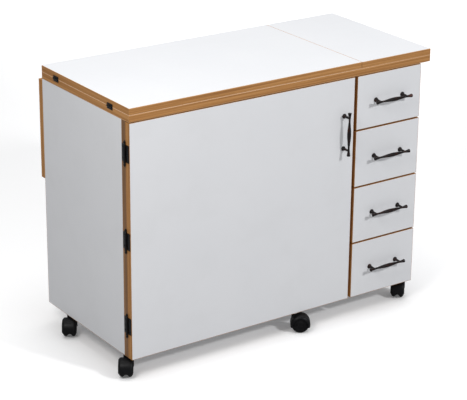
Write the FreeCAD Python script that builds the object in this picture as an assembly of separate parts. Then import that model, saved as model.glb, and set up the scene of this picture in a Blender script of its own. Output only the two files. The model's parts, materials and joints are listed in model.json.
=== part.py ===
import FreeCAD, Part
import collections
import math
import os

# Sewing table on casters, folded closed. Millimetres, +Z up.
# While it is modelled, x runs from the left side to the right, y from the front to the
# rear and z from the floor. The finished model is then moved, so that its origin is on
# the floor, under the middle of everything.

# ---------------------------------------------------------------- driving dimensions
# Carcass and top
TABLE_LENGTH = 1010.0        # left to right over the top
TABLE_DEPTH = 460.0          # front to rear over the top
CARCASS_HEIGHT = 677.0       # body's lower edge to the fixed top's underside
BOARD = 19.0                 # thickness of every panel
TOP_OVERHANG = 32.0          # the top stands out this much at the right
LEAF_LENGTH = 760.0          # the folding top leaf, left edge to seam
SEAM_GAP = 1.5               # between the folding leaf and the right top panel
LAYER_GAP = 0.3              # under the folding leaf
FRONT_TOP_GAP = 2.5          # over the door and the top drawer front
FRONT_BACK_GAP = 0.5         # behind the door and the drawer fronts
DOOR_LENGTH = 738.0
STILE_WIDTH = 70.0           # upright board that carries the door
DOOR_DRAWER_REVEAL = 10.0    # between the door and the drawer fronts
REAR_RECESS = 25.0           # behind the back panel, for the leaf brackets

# Machine cut-out in the fixed top
CUTOUT_LENGTH = 560.0
CUTOUT_DEPTH = 310.0
CUTOUT_FRONT = 60.0          # from the table's front to the cut-out
CUTOUT_CORNER = 12.0         # corner radius
PLATFORM_CLEARANCE = 10.0    # round the raised platform

# Drawers
DRAWER_COUNT = 4
TOP_DRAWER_HEIGHT = 158.0    # front of the top drawer, the others share the rest
DRAWER_GAP = 4.0
DRAWER_BOX_HEIGHT = 110.0
DRAWER_BOX_LENGTH = 380.0
DRAWER_BOX_RAISE = 28.0      # box over the front's lower edge
DRAWER_SIDE = 12.0           # box side, front and back boards
DRAWER_BOTTOM = 6.0
DRAWER_BOTTOM_RAISE = 8.0
DRAWER_TRAVEL = 270.0
SLIDE_SPACE = 12.75          # beside the box, for the slide
SLIDE_HEIGHT = 45.0
SLIDE_LENGTH = 350.0
SLIDE_INSET = 5.0            # slide behind the carcass front
SLIDE_SHEET = 1.5
SLIDE_REACH = 8.0            # flanges stand out from the web
SLIDE_CLEARANCE = 1.0        # between the two members

# Pulls
PULL_LENGTH = 128.0
PULL_SPACING = 96.0          # between the two posts
PULL_STANDOFF = 25.0         # bar axis in front of the board
PULL_BULGE_RADIUS = 5.7
PULL_WAIST_RADIUS = 2.8
PULL_END_RADIUS = 5.3
POST_FOOT_RADIUS = 7.0
POST_FOOT_HEIGHT = 3.0
POST_NECK_RADIUS = 3.4
DOOR_PULL_INSET = 35.0       # from the door's right edge
DOOR_PULL_DROP = 91.5        # pull's upper end under the door's upper edge

# Hinges
HingeSize = collections.namedtuple("HingeSize", "length width plate barrel pin offset")
DOOR_HINGE = HingeSize(length=48.0, width=17.0, plate=1.6, barrel=3.2, pin=1.5, offset=3.7)
TOP_HINGE = HingeSize(length=27.0, width=8.0, plate=1.4, barrel=2.0, pin=1.0, offset=2.1)
REAR_HINGE = HingeSize(length=60.0, width=20.0, plate=1.6, barrel=2.25, pin=1.0, offset=2.5)
KNUCKLES = 3
KNUCKLE_GAP = 0.3
RUNNING_CLEARANCE = 0.05     # round every hinge pin, stem and axle
FINIAL_HEIGHT = 13.0
DOOR_HINGE_DROP = 86.0       # first door hinge under the door's upper edge
DOOR_HINGE_SPACING = 246.0
TOP_HINGE_FRONT = 95.0       # front top hinge from the front edge
TOP_HINGE_REAR = 80.0        # rear top hinge from the rear edge
REAR_HINGE_INSET = 140.0     # end rear hinges from the side panels

# Rear leaf and its folding brackets
REAR_LEAF_HEIGHT = 290.0
REAR_LEAF_GAP = 0.5          # between the hanging leaf and the top
REAR_LEAF_DROP = 3.0         # leaf's upper edge under the hinge axis
BRACE_LENGTH = 150.0         # pivot to tip
BRACE_WIDTH = 12.0
BRACE_THICKNESS = 6.0
BRACE_TURN = 1.5             # brace turns this much per turn of the leaf
BRACE_SEAT = 8.0             # brace tip under the hinge axis, leaf raised
BRACE_DEPTH = 12.0           # brace pivot behind the back panel
BRACKET_SHEET = 2.0
BRACKET_WIDTH = 26.0
BRACKET_INSET = 230.0        # brackets from the side panels
BRACE_PIN_RADIUS = 2.5
STOP_CLEARANCE = 0.3

# Machine lift
LIFT_TRAVEL = 310.0
LIFT_TOP_GAP = 1.0           # raised platform under the fixed top's upper face
RAIL_SPACING = 400.0
RAIL_WIDTH = 40.0
RAIL_DEPTH = 20.0
RAIL_SHEET = 2.0
RAIL_SLOT = 16.0
RAIL_LOW = 100.0             # rail's lower end over the floor
RAIL_TOP_GAP = 4.0           # under the fixed top
CARRIAGE_HEIGHT = 120.0
CARRIAGE_CLEARANCE = 0.6
ARM_WIDTH = 15.0
ARM_HEIGHT = 30.0
STRUT_SPACING = 300.0
STRUT_CYLINDER_RADIUS = 9.0
STRUT_WALL = 1.5
STRUT_ROD_RADIUS = 4.0
STRUT_CAP = 12.0
STRUT_OVERLAP = 8.0          # rod left in the cylinder, platform raised
STRUT_INSET = 12.0           # strut axis inside the platform's rear edge
PISTON_HEIGHT = 10.0

# Casters
CASTER_HEIGHT = 60.0         # floor to the body's lower edge
WHEEL_RADIUS = 25.0
WHEEL_WIDTH = 17.0
TREAD_WIDTH = 2.6            # the narrow part that meets the floor
WEB_THICKNESS = 5.0
WHEEL_SIDE_GAP = 0.5
HOOD_GAP = 1.2               # over the wheels
HOOD_WALL = 2.8
HOOD_LOW = 8.0               # hood's edge under the axle
HOOD_RIM = 4.0               # hood's rim inside the wheel's outline, seen from the side
AXLE_RADIUS = 3.0
CASTER_TRAIL = 18.0
CASTER_BOSS_RADIUS = 8.0
STEM_RADIUS = 4.0
STEM_LENGTH = 34.0
SOCKET_RADIUS = 5.5
SOCKET_LENGTH = 38.0
SOCKET_FLANGE_RADIUS = 9.0
SOCKET_FLANGE = 2.0
SWIVEL_GAP = 0.4             # between the socket flange and the hood
FIT_GAP = 0.02               # a wheel on its axle end
CASTER_BEHIND_STILE = 8.5    # front casters' stems behind the hinge stile
CASTER_REAR = 105.0          # rear casters' stems from the rear
DOOR_CASTER_FROM_HINGE = 551.0
CASTER_YAW_DEG = {           # the way each caster trails, from +X towards +Y
    "front_left": 236.0,
    "front_right": 228.0,
    "rear_left": 236.0,
    "rear_right": 155.0,
    "door": 326.0,
}

# Magnetic door catch
CATCH_SIZE = (15.0, 22.0, 40.0)
CATCH_DROP = 40.0
STRIKE_PLATE = 1.2
CATCH_GAP = 0.5

# ---------------------------------------------------------------- planes and levels
BODY_LOW = CASTER_HEIGHT
TOP_LOW = BODY_LOW + CARCASS_HEIGHT
TOP_HIGH = TOP_LOW + BOARD
LEAF_LOW = TOP_HIGH + LAYER_GAP
LEAF_HIGH = LEAF_LOW + BOARD
FRONT_HIGH = TOP_LOW - FRONT_TOP_GAP
CARCASS_FRONT = BOARD + FRONT_BACK_GAP
STILE_REAR = CARCASS_FRONT + BOARD
BACK_REAR = TABLE_DEPTH - REAR_RECESS
BACK_FRONT = BACK_REAR - BOARD
RIGHT_FACE = TABLE_LENGTH - TOP_OVERHANG
DRAWER_FRONT_LEFT = DOOR_LENGTH + DOOR_DRAWER_REVEAL
DIVIDER_LEFT = DOOR_LENGTH + DOOR_DRAWER_REVEAL / 2 - BOARD / 2
DIVIDER_RIGHT = DIVIDER_LEFT + BOARD
DRAWER_BAY_RIGHT = RIGHT_FACE - BOARD
BOTTOM_HIGH = BODY_LOW + BOARD
BAY_CENTRE = (BOARD + DIVIDER_LEFT) / 2
CUTOUT_LEFT = BAY_CENTRE - CUTOUT_LENGTH / 2
PLATFORM_FRONT = CUTOUT_FRONT + PLATFORM_CLEARANCE
PLATFORM_REAR = CUTOUT_FRONT + CUTOUT_DEPTH - PLATFORM_CLEARANCE
DOOR_AXIS = (-DOOR_HINGE.offset, BOARD + FRONT_BACK_GAP / 2)
TOP_AXIS = (-TOP_HINGE.offset, TOP_HIGH + LAYER_GAP / 2)
REAR_LEAF_FRONT = TABLE_DEPTH + REAR_LEAF_GAP
REAR_AXIS = (REAR_LEAF_FRONT - REAR_HINGE.offset, TOP_LOW - REAR_HINGE.offset)
REAR_LEAF_HIGH = REAR_AXIS[1] - REAR_LEAF_DROP
BRACE_AXIS = (
    BACK_REAR + BRACE_DEPTH,
    REAR_AXIS[1] - BRACE_SEAT - BRACE_LENGTH * math.sqrt(0.5),
)
LIFT_LOW = TOP_HIGH - LIFT_TOP_GAP - LIFT_TRAVEL
PLATFORM_LOW = LIFT_LOW - BOARD
LIFT_RAIL_X = (BAY_CENTRE - RAIL_SPACING / 2, BAY_CENTRE + RAIL_SPACING / 2)
STRUT_X = (BAY_CENTRE - STRUT_SPACING / 2, BAY_CENTRE + STRUT_SPACING / 2)
BRACKET_X = (BRACKET_INSET, RIGHT_FACE - BRACKET_INSET)
DOOR_HINGE_Z = [FRONT_HIGH - DOOR_HINGE_DROP - i * DOOR_HINGE_SPACING for i in range(3)]
TOP_HINGE_Y = (TOP_HINGE_FRONT, TABLE_DEPTH - TOP_HINGE_REAR)
REAR_HINGE_X = (REAR_HINGE_INSET, RIGHT_FACE / 2, RIGHT_FACE - REAR_HINGE_INSET)
CASTER_FRONT = STILE_REAR + CASTER_BEHIND_STILE
STEM_POINTS = {
    "front_left": (BOARD / 2, CASTER_FRONT),
    "front_right": (RIGHT_FACE - BOARD / 2, CASTER_FRONT),
    "rear_left": (BOARD / 2, TABLE_DEPTH - CASTER_REAR),
    "rear_right": (RIGHT_FACE - BOARD / 2, TABLE_DEPTH - CASTER_REAR),
    "door": (DOOR_CASTER_FROM_HINGE, BOARD / 2),
}
X_AXIS = FreeCAD.Vector(1, 0, 0)
Y_AXIS = FreeCAD.Vector(0, 1, 0)
Z_AXIS = FreeCAD.Vector(0, 0, 1)


# ---------------------------------------------------------------- shape helpers
def block(x_range, y_range, z_range):
    size = [high - low for low, high in (x_range, y_range, z_range)]
    return Part.makeBox(*size, FreeCAD.Vector(x_range[0], y_range[0], z_range[0]))


def rod(radius, length, base, axis=Z_AXIS):
    return Part.makeCylinder(radius, length, FreeCAD.Vector(*base), axis)


def turned(profile):
    """A solid turned about Z from (radius, height) points that start and end on the axis."""
    points = [FreeCAD.Vector(radius, 0, height) for radius, height in profile]
    outline = Part.makePolygon(points + [points[0]])
    return Part.Face(outline).revolve(FreeCAD.Vector(0, 0, 0), Z_AXIS, 360)


def mirrored(profile):
    """Points on one side of the middle, with their mirror images before them."""
    return [(radius, -across) for radius, across in reversed(profile)] + profile


def placed(shape, origin, x_axis, y_axis):
    """The shape with its own X and Y turned to two world directions, then moved."""
    z_axis = x_axis.cross(y_axis)
    o = origin
    matrix = FreeCAD.Matrix(
        x_axis.x, y_axis.x, z_axis.x, o[0],
        x_axis.y, y_axis.y, z_axis.y, o[1],
        x_axis.z, y_axis.z, z_axis.z, o[2],
        0, 0, 0, 1,
    )
    copy = shape.copy()
    copy.Placement = FreeCAD.Placement(matrix) * shape.Placement
    return copy


def socket_hole(point):
    return rod(SOCKET_RADIUS, SOCKET_LENGTH, (point[0], point[1], BODY_LOW))


# ---------------------------------------------------------------- boards
def carcass_boards():
    side_y = (STILE_REAR, TABLE_DEPTH)
    full_z = (BODY_LOW, TOP_LOW)
    left = block((0, BOARD), side_y, full_z)
    right = block((DRAWER_BAY_RIGHT, RIGHT_FACE), (CARCASS_FRONT, TABLE_DEPTH), full_z)
    for corner in ("front_left", "rear_left"):
        left = left.cut(socket_hole(STEM_POINTS[corner]))
    for corner in ("front_right", "rear_right"):
        right = right.cut(socket_hole(STEM_POINTS[corner]))
    stile = block((0, STILE_WIDTH), (CARCASS_FRONT, STILE_REAR), full_z)
    bottom_z = (BODY_LOW, BOTTOM_HIGH)
    bottom = block((BOARD, DRAWER_BAY_RIGHT), (CARCASS_FRONT, BACK_REAR), bottom_z)
    above_bottom = (BOTTOM_HIGH, TOP_LOW)
    return {
        "left_side_panel": [left],
        "right_side_panel": [right],
        "bottom_panel": [bottom.cut(stile)],
        "centre_divider": [
            block((DIVIDER_LEFT, DIVIDER_RIGHT), (CARCASS_FRONT, BACK_FRONT), above_bottom)
        ],
        "back_panel": [
            block((BOARD, DRAWER_BAY_RIGHT), (BACK_FRONT, BACK_REAR), above_bottom)
        ],
        "hinge_stile": [stile],
    }


def machine_cutout():
    hole = block(
        (CUTOUT_LEFT, CUTOUT_LEFT + CUTOUT_LENGTH),
        (CUTOUT_FRONT, CUTOUT_FRONT + CUTOUT_DEPTH),
        (TOP_LOW, TOP_HIGH),
    )
    upright = [e for e in hole.Edges if abs(e.tangentAt(e.FirstParameter).z) > 0.9]
    return hole.makeFillet(CUTOUT_CORNER, upright)


def top_boards():
    depth = (0, TABLE_DEPTH)
    fixed = block((0, TABLE_LENGTH), depth, (TOP_LOW, TOP_HIGH)).cut(machine_cutout())
    right_x = (LEAF_LENGTH + SEAM_GAP, TABLE_LENGTH)
    return {
        "fixed_top": [fixed],
        "right_top_panel": [block(right_x, depth, (TOP_HIGH, TOP_HIGH + BOARD))],
        "top_leaf_panel": [block((0, LEAF_LENGTH), depth, (LEAF_LOW, LEAF_HIGH))],
        "rear_leaf_panel": [
            block(
                (0, TABLE_LENGTH),
                (REAR_LEAF_FRONT, REAR_LEAF_FRONT + BOARD),
                (REAR_LEAF_HIGH - REAR_LEAF_HEIGHT, REAR_LEAF_HIGH),
            )
        ],
    }


# ---------------------------------------------------------------- hinges
def hinge_leaf(size, own):
    """One leaf: pin along Z through the origin, plate along +X, board face towards +Y."""
    half = size.length / 2
    pitch = size.length / KNUCKLES
    shape = block((0, size.width), (size.offset - size.plate, size.offset), (-half, half))
    for index in range(KNUCKLES):
        low = index * pitch - half
        if index % 2 == own:
            height = pitch - KNUCKLE_GAP
            shape = shape.fuse(rod(size.barrel, height, (0, 0, low + KNUCKLE_GAP / 2)))
        else:
            reach = size.barrel + KNUCKLE_GAP
            shape = shape.cut(block((-reach, reach), (0, size.offset), (low, low + pitch)))
    bore = rod(size.pin + RUNNING_CLEARANCE, size.length, (0, 0, -half))
    return shape.cut(bore).removeSplitter()


def door_hinge_pin():
    """Pin with a turned finial at each end, along Z and centred."""
    half = DOOR_HINGE.length / 2
    neck = DOOR_HINGE.pin + 0.6
    finial = [
        (DOOR_HINGE.pin, half),
        (DOOR_HINGE.barrel, half + 0.2),
        (DOOR_HINGE.barrel, half + 2.0),
        (neck, half + 3.4),
        (DOOR_HINGE.barrel, half + 6.2),
        (DOOR_HINGE.barrel, half + 7.6),
        (neck, half + FINIAL_HEIGHT - 2.4),
        (0, half + FINIAL_HEIGHT),
    ]
    return turned(mirrored(finial))


def plain_pin(size):
    return rod(size.pin, size.length, (0, 0, -size.length / 2))


def door_hinges():
    frame, door, pins = [], [], []
    for height in DOOR_HINGE_Z:
        at = (DOOR_AXIS[0], DOOR_AXIS[1], height)
        frame.append(placed(hinge_leaf(DOOR_HINGE, 0), at, Y_AXIS, X_AXIS))
        door.append(placed(hinge_leaf(DOOR_HINGE, 1), at, -Y_AXIS, X_AXIS))
        pins.append(placed(door_hinge_pin(), at, X_AXIS, Y_AXIS))
    return {
        "door_hinge_frame_leaves": frame,
        "door_hinge_door_leaves": door,
        "door_hinge_pins": pins,
    }


def top_hinges():
    lower, upper, pins = [], [], []
    for depth in TOP_HINGE_Y:
        at = (TOP_AXIS[0], depth, TOP_AXIS[1])
        lower.append(placed(hinge_leaf(TOP_HINGE, 0), at, -Z_AXIS, X_AXIS))
        upper.append(placed(hinge_leaf(TOP_HINGE, 1), at, Z_AXIS, X_AXIS))
        pins.append(placed(plain_pin(TOP_HINGE), at, Z_AXIS, X_AXIS))
    return {
        "top_hinge_lower_leaves": lower,
        "top_hinge_upper_leaves": upper,
        "top_hinge_pins": pins,
    }


def rear_hinges():
    fixed, leaf = [], []
    for along in REAR_HINGE_X:
        at = (along, REAR_AXIS[0], REAR_AXIS[1])
        pin = placed(plain_pin(REAR_HINGE), at, -Y_AXIS, Z_AXIS)
        fixed.append(placed(hinge_leaf(REAR_HINGE, 0), at, -Y_AXIS, Z_AXIS))
        fixed.append(pin)
        leaf.append(placed(hinge_leaf(REAR_HINGE, 1), at, -Z_AXIS, Y_AXIS))
    return {"rear_hinge_fixed_leaves": fixed, "rear_hinge_leaf_plates": leaf}


# ---------------------------------------------------------------- rear leaf brackets
def brace_ears(centre, y_range, z_range):
    """Two ears beside the brace."""
    inner = BRACE_THICKNESS / 2 + KNUCKLE_GAP
    outer = inner + BRACKET_SHEET
    ears = []
    for low, high in ((-outer, -inner), (inner, outer)):
        ears.append(block((centre + low, centre + high), y_range, z_range))
    return ears


def wall_arm(centre):
    """Arm on the back panel with two ears and the pin that carries the brace."""
    half = BRACKET_WIDTH / 2
    pivot_y, pivot_z = BRACE_AXIS
    reach = BRACE_WIDTH / 2
    z_range = (pivot_z - reach, REAR_AXIS[1] - REAR_HINGE.width)
    base = block((centre - half, centre + half), (BACK_REAR, BACK_REAR + BRACKET_SHEET), z_range)
    ears = brace_ears(centre, (BACK_REAR, pivot_y + reach), (pivot_z - reach, pivot_z + reach))
    arm = base.fuse(ears)
    pin_half = BRACE_THICKNESS / 2 + KNUCKLE_GAP + BRACKET_SHEET + 1.0
    start = (centre - pin_half, pivot_y, pivot_z)
    arm = arm.cut(rod(BRACE_PIN_RADIUS + RUNNING_CLEARANCE, 2 * pin_half, start, X_AXIS))
    return [arm, rod(BRACE_PIN_RADIUS, 2 * pin_half, start, X_AXIS)]


def brace(centre):
    """Diagonal brace, hanging from the wall arm, with a cross pin at its tip."""
    pivot_y, pivot_z = BRACE_AXIS
    half = BRACE_THICKNESS / 2
    start = (centre - half, pivot_y, pivot_z)
    tip = (centre - half, pivot_y, pivot_z - BRACE_LENGTH)
    bar = block(
        (centre - half, centre + half),
        (pivot_y - BRACE_WIDTH / 2, pivot_y + BRACE_WIDTH / 2),
        (tip[2], pivot_z),
    )
    bar = bar.fuse([rod(BRACE_WIDTH / 2, BRACE_THICKNESS, end, X_AXIS) for end in (start, tip)])
    bar = bar.cut(rod(BRACE_PIN_RADIUS + RUNNING_CLEARANCE, BRACE_THICKNESS, start, X_AXIS))
    pin_half = half + KNUCKLE_GAP + BRACKET_SHEET
    pin_start = (centre - pin_half, tip[1], tip[2])
    return bar.fuse(rod(BRACE_PIN_RADIUS, 2 * pin_half, pin_start, X_AXIS)).removeSplitter()


def leaf_arm(centre):
    """Arm on the leaf with two ears that the brace's cross pin stops against."""
    half = BRACKET_WIDTH / 2
    pivot_y, pivot_z = BRACE_AXIS
    # Along the raised leaf, the tip ends this far from the leaf's hinge axis.
    tip_reach = pivot_y - REAR_AXIS[0] + BRACE_LENGTH * math.sqrt(0.5)
    stop = tip_reach - BRACE_PIN_RADIUS - STOP_CLEARANCE
    face = REAR_LEAF_FRONT
    top = REAR_AXIS[1]
    base = block(
        (centre - half, centre + half),
        (face - BRACKET_SHEET, face),
        (top - 2.1 * tip_reach, top - REAR_HINGE.width - REAR_LEAF_DROP),
    )
    ears = brace_ears(
        centre,
        (REAR_AXIS[0] - BRACE_SEAT - BRACE_PIN_RADIUS - 1.0, face),
        (top - stop, top - stop + BRACE_WIDTH),
    )
    return base.fuse(ears).removeSplitter()


def rear_brackets():
    walls, leaves, braces = [], [], []
    for centre in BRACKET_X:
        walls.extend(wall_arm(centre))
        leaves.append(leaf_arm(centre))
        braces.append(brace(centre))
    return {
        "rear_bracket_wall_arms": walls,
        "rear_bracket_leaf_arms": leaves,
        "leaf_braces": braces,
    }


# ---------------------------------------------------------------- pulls
def pull():
    """A turned bar on two posts: bar along Z, board face at y = 0, standing towards -Y."""
    half = PULL_LENGTH / 2
    post = PULL_SPACING / 2
    upper = [
        (PULL_BULGE_RADIUS, 0),
        (PULL_BULGE_RADIUS * 0.93, 0.22 * post),
        (PULL_WAIST_RADIUS + 1.1, 0.52 * post),
        (PULL_WAIST_RADIUS + 0.1, 0.76 * post),
        (PULL_WAIST_RADIUS, 0.90 * post),
        (PULL_WAIST_RADIUS + 0.4, post),
        (PULL_END_RADIUS - 1.1, half - 8.0),
        (PULL_END_RADIUS, half - 2.5),
        (PULL_END_RADIUS, half - 1.0),
        (PULL_END_RADIUS - 1.0, half),
        (0, half),
    ]
    lower = [(radius, -height) for radius, height in reversed(upper[1:])]
    bar = turned(lower + upper)
    bar.translate(FreeCAD.Vector(0, -PULL_STANDOFF, 0))
    solids = [bar]
    foot = [
        (0, 0),
        (POST_FOOT_RADIUS, 0),
        (POST_FOOT_RADIUS, POST_FOOT_HEIGHT),
        (POST_NECK_RADIUS, POST_FOOT_HEIGHT + 6.0),
        (POST_NECK_RADIUS, PULL_STANDOFF),
        (0, PULL_STANDOFF),
    ]
    for height in (-post, post):
        solids.append(placed(turned(foot), (0, 0, height), X_AXIS, Z_AXIS))
    return solids[0].fuse(solids[1:]).removeSplitter()


def door_pull():
    height = FRONT_HIGH - DOOR_PULL_DROP - PULL_LENGTH / 2
    return placed(pull(), (DOOR_LENGTH - DOOR_PULL_INSET, 0, height), X_AXIS, Y_AXIS)


# ---------------------------------------------------------------- drawers
def drawer_levels():
    """Lower and upper edge of each drawer front, from the top drawer down."""
    rest = FRONT_HIGH - BODY_LOW - TOP_DRAWER_HEIGHT - DRAWER_GAP * (DRAWER_COUNT - 1)
    heights = [TOP_DRAWER_HEIGHT] + [rest / (DRAWER_COUNT - 1)] * (DRAWER_COUNT - 1)
    levels = []
    high = FRONT_HIGH
    for height in heights:
        levels.append((high - height, high))
        high -= height + DRAWER_GAP
    return levels


def drawer_box_x():
    return (DIVIDER_RIGHT + SLIDE_SPACE, DRAWER_BAY_RIGHT - SLIDE_SPACE)


def drawer_box(low):
    """Two sides, an inner front, a back and a bottom board let into them."""
    left, right = drawer_box_x()
    z_range = (low + DRAWER_BOX_RAISE, low + DRAWER_BOX_RAISE + DRAWER_BOX_HEIGHT)
    y_range = (BOARD, BOARD + DRAWER_BOX_LENGTH)
    bottom_low = z_range[0] + DRAWER_BOTTOM_RAISE
    groove = DRAWER_SIDE / 2
    bottom = block(
        (left + groove, right - groove),
        (y_range[0] + groove, y_range[1] - groove),
        (bottom_low, bottom_low + DRAWER_BOTTOM),
    )
    inner_x = (left + DRAWER_SIDE, right - DRAWER_SIDE)
    boards = [
        block((left, left + DRAWER_SIDE), y_range, z_range),
        block((right - DRAWER_SIDE, right), y_range, z_range),
        block(inner_x, (y_range[0], y_range[0] + DRAWER_SIDE), z_range),
        block(inner_x, (y_range[1] - DRAWER_SIDE, y_range[1]), z_range),
    ]
    return [board.cut(bottom) for board in boards] + [bottom]


def slide_channel(wall_x, side, half_height):
    """A C channel along Y: its web lies on a wall, its flanges point to `side`."""
    low_y = CARCASS_FRONT + SLIDE_INSET
    reach = side * (SLIDE_REACH + SLIDE_SHEET)
    outer = sorted((wall_x, wall_x + reach))
    inner = sorted((wall_x + side * SLIDE_SHEET, wall_x + 2 * reach))
    y_range = (low_y, low_y + SLIDE_LENGTH)
    body = block(outer, y_range, (-half_height, half_height))
    channel = (SLIDE_SHEET - half_height, half_height - SLIDE_SHEET)
    return body.cut(block(inner, y_range, channel))


def drawer_slides(low):
    """The fixed and the sliding members of one drawer."""
    centre = low + DRAWER_BOX_RAISE + DRAWER_BOX_HEIGHT / 2
    outer_half = SLIDE_HEIGHT / 2
    inner_half = outer_half - SLIDE_SHEET - SLIDE_CLEARANCE
    box_left, box_right = drawer_box_x()
    fixed = [
        slide_channel(DIVIDER_RIGHT, 1, outer_half),
        slide_channel(DRAWER_BAY_RIGHT, -1, outer_half),
    ]
    moving = [
        slide_channel(box_left, -1, inner_half),
        slide_channel(box_right, 1, inner_half),
    ]
    for shape in fixed + moving:
        shape.translate(FreeCAD.Vector(0, 0, centre))
    return fixed, moving


def drawers():
    nodes = {"drawer_cabinet_slides": []}
    for number, (low, high) in enumerate(drawer_levels(), 1):
        fixed, moving = drawer_slides(low)
        middle_x = (DRAWER_FRONT_LEFT + RIGHT_FACE) / 2
        middle = (middle_x, 0, (low + high) / 2)
        nodes["drawer_cabinet_slides"].extend(fixed)
        nodes[f"drawer_{number}_front"] = [
            block((DRAWER_FRONT_LEFT, RIGHT_FACE), (0, BOARD), (low, high))
        ]
        nodes[f"drawer_{number}_box"] = drawer_box(low)
        nodes[f"drawer_{number}_pull"] = [placed(pull(), middle, -Z_AXIS, Y_AXIS)]
        nodes[f"drawer_{number}_slides"] = moving
    return nodes


# ---------------------------------------------------------------- door
def door_parts():
    panel = block((0, DOOR_LENGTH), (0, BOARD), (BODY_LOW, FRONT_HIGH))
    width, depth, height = CATCH_SIZE
    z_range = (FRONT_HIGH - CATCH_DROP - height, FRONT_HIGH - CATCH_DROP)
    plate_x = (DIVIDER_LEFT - width, DIVIDER_LEFT)
    plate_rear = BOARD + STRIKE_PLATE
    catch_y = (plate_rear + CATCH_GAP, plate_rear + CATCH_GAP + depth)
    return {
        "door_panel": [panel.cut(socket_hole(STEM_POINTS["door"]))],
        "door_pull": [door_pull()],
        "door_strike_plate": [block(plate_x, (BOARD, plate_rear), z_range)],
        "door_catch": [block(plate_x, catch_y, z_range)],
    }


# ---------------------------------------------------------------- machine lift
def lift_rail(centre):
    """C rail on the back panel, open towards the front."""
    half = RAIL_WIDTH / 2
    z_range = (RAIL_LOW, TOP_LOW - RAIL_TOP_GAP)
    front = BACK_FRONT - RAIL_DEPTH
    rail = block((centre - half, centre + half), (front, BACK_FRONT), z_range)
    inner = half - RAIL_SHEET
    slot = RAIL_SLOT / 2
    rail = rail.cut(
        block((centre - inner, centre + inner), (front + RAIL_SHEET, BACK_FRONT - RAIL_SHEET), z_range)
    )
    return rail.cut(block((centre - slot, centre + slot), (front, front + RAIL_SHEET), z_range))


def lift_carriage(centre):
    """Runner in the rail, a neck through its slot and an arm under the platform."""
    half = RAIL_WIDTH / 2 - RAIL_SHEET - CARRIAGE_CLEARANCE
    neck = RAIL_SLOT / 2 - CARRIAGE_CLEARANCE
    front = BACK_FRONT - RAIL_DEPTH
    runner_y = (
        front + RAIL_SHEET + CARRIAGE_CLEARANCE,
        BACK_FRONT - RAIL_SHEET - CARRIAGE_CLEARANCE,
    )
    z_range = (PLATFORM_LOW - CARRIAGE_HEIGHT - RAIL_TOP_GAP, PLATFORM_LOW - RAIL_TOP_GAP)
    arm_y = (PLATFORM_FRONT + ARM_WIDTH, front - CARRIAGE_CLEARANCE)
    runner = block((centre - half, centre + half), runner_y, z_range)
    stalk = block((centre - neck, centre + neck), (arm_y[1], runner_y[0]), z_range)
    arm = block(
        (centre - ARM_WIDTH / 2, centre + ARM_WIDTH / 2),
        arm_y,
        (PLATFORM_LOW - ARM_HEIGHT, PLATFORM_LOW),
    )
    upright_y = (arm_y[1] - ARM_WIDTH, arm_y[1])
    upright = block(
        (centre - ARM_WIDTH / 2, centre + ARM_WIDTH / 2), upright_y, (z_range[0], PLATFORM_LOW)
    )
    return runner.fuse([stalk, arm, upright]).removeSplitter()


def gas_spring(centre):
    """Cylinder with a guide cap standing on the bottom, and the rod with its piston."""
    y = PLATFORM_REAR - STRUT_INSET
    bore = STRUT_CYLINDER_RADIUS - STRUT_WALL
    rod_low = BOTTOM_HIGH + STRUT_WALL + STOP_CLEARANCE
    cap_high = rod_low + LIFT_TRAVEL + STRUT_CAP + STRUT_OVERLAP + PISTON_HEIGHT
    length = cap_high - BOTTOM_HIGH
    cylinder = rod(STRUT_CYLINDER_RADIUS, length, (centre, y, BOTTOM_HIGH))
    chamber = length - STRUT_WALL - STRUT_CAP
    cylinder = cylinder.cut(rod(bore, chamber, (centre, y, BOTTOM_HIGH + STRUT_WALL)))
    guide = rod(STRUT_ROD_RADIUS + RUNNING_CLEARANCE, length, (centre, y, rod_low))
    cylinder = cylinder.cut(guide)
    shaft = rod(STRUT_ROD_RADIUS, PLATFORM_LOW - rod_low, (centre, y, rod_low))
    piston = rod(bore - 2 * RUNNING_CLEARANCE, PISTON_HEIGHT, (centre, y, rod_low))
    return cylinder, shaft.fuse(piston).removeSplitter()


def machine_lift():
    gap = PLATFORM_CLEARANCE
    platform = block(
        (CUTOUT_LEFT + gap, CUTOUT_LEFT + CUTOUT_LENGTH - gap),
        (PLATFORM_FRONT, PLATFORM_REAR),
        (PLATFORM_LOW, LIFT_LOW),
    )
    springs = [gas_spring(x) for x in STRUT_X]
    return {
        "lift_platform": [platform],
        "lift_rails": [lift_rail(x) for x in LIFT_RAIL_X],
        "lift_carriages": [lift_carriage(x) for x in LIFT_RAIL_X],
        "gas_spring_cylinders": [cylinder for cylinder, shaft in springs],
        "gas_spring_rods": [shaft for cylinder, shaft in springs],
    }


# ---------------------------------------------------------------- casters
def caster_socket(point):
    """Sleeve in the board's lower edge, with a flange under it."""
    x, y = point
    sleeve = rod(SOCKET_RADIUS, SOCKET_LENGTH, (x, y, BODY_LOW))
    flange = rod(SOCKET_FLANGE_RADIUS, SOCKET_FLANGE, (x, y, BODY_LOW - SOCKET_FLANGE))
    depth = STEM_LENGTH + SOCKET_FLANGE + 1.0
    bore = rod(STEM_RADIUS + RUNNING_CLEARANCE, depth, (x, y, BODY_LOW - SOCKET_FLANGE))
    return sleeve.fuse(flange).cut(bore).removeSplitter()


def about_axle(profile):
    """A solid turned about the wheels' axle from (radius, distance from the middle) points."""
    return placed(turned(profile), (CASTER_TRAIL, 0, WHEEL_RADIUS), Z_AXIS, X_AXIS)


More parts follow.
